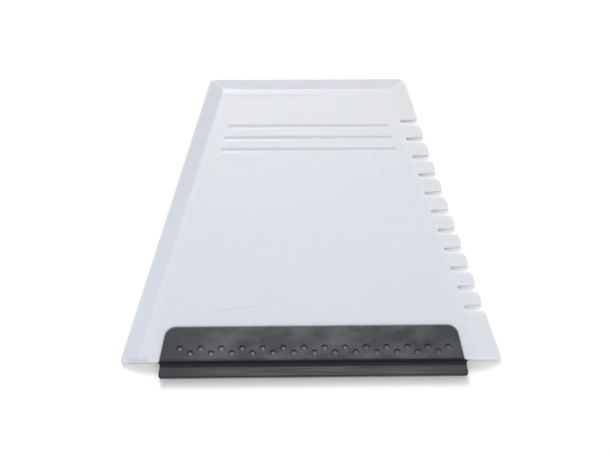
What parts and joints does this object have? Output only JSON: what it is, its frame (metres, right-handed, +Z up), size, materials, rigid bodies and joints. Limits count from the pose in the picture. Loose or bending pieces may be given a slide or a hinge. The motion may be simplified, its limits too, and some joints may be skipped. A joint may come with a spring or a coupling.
{
  "type": "ice scraper",
  "caption": "Hand-held ice scraper: a trapezoidal plastic plate with bevelled and toothed edges and a flexible rubber wiper along its wide edge.",
  "frame": {"origin": "middle of the scraper's length and width, on the surface that its flat underside lies on", "axes": "+X across, from the plain side to the toothed side; +Y from the rubber wiper to the narrow edge; +Z up, out of the bevelled face"},
  "size_m": [0.1172, 0.1006, 0.0033],
  "materials": {
    "white_plastic": "semi-gloss moulded white plastic with fine hairline scratches",
    "black_rubber": "satin black rubber with a faint moulded grain"
  },
  "bodies": {
    "plate": {"scraper_plate": "white_plastic", "squeegee_base": "black_rubber"},
    "lip": {"wiper_lip": "black_rubber"}
  },
  "joints": [
    {"name": "lip_flex", "type": "hinge", "parent": "plate", "child": "lip", "pos_m": [0.0006, -0.04705, 0.00168], "axis": [1, 0, 0], "range_deg": [-30, 30], "stiffness_Nm_per_rad": 0.02}
  ]
}
